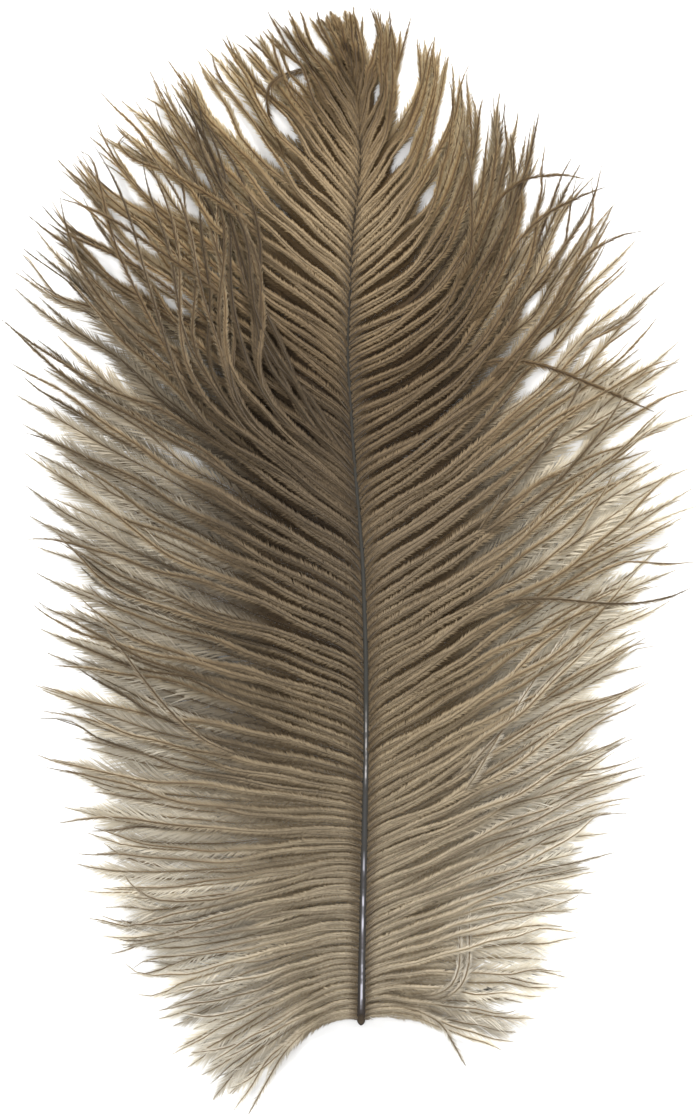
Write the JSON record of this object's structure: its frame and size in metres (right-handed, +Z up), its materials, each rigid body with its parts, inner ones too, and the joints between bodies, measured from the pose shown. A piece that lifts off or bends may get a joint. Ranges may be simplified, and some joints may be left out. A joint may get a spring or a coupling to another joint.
{
  "type": "ostrich feather",
  "caption": "Loose ostrich plume lying flat: a slender dark shaft with wide, soft, drooping vanes of fluffy grey-brown barbs on both sides.",
  "frame": {"origin": "middle of the feather's footprint, on the surface it lies on", "axes": "+Y up the shaft from the cut quill end to the tip, +X towards the right-hand vane, +Z up from the surface"},
  "size_m": [0.1688, 0.2722, 0.0079],
  "materials": {
    "shaft": "smooth horn with a low sheen, slate grey, paler and silvery near the cut end",
    "barbs": "soft matt down, grey-brown, thin and translucent towards the tips"
  },
  "bodies": {
    "root": {"shaft": "shaft", "left_base_lock": "barbs", "left_lower_lock": "barbs", "left_middle_lock": "barbs", "left_upper_lock": "barbs", "left_shoulder_lock": "barbs", "left_swept_lock": "barbs", "left_crown_lock": "barbs", "left_tip_lock": "barbs", "right_base_lock": "barbs", "right_lower_lock": "barbs", "right_middle_lock": "barbs", "right_upper_lock": "barbs", "right_shoulder_lock": "barbs", "right_swept_lock": "barbs", "right_crown_lock": "barbs", "right_tip_lock": "barbs"}
  },
  "joints": []
}
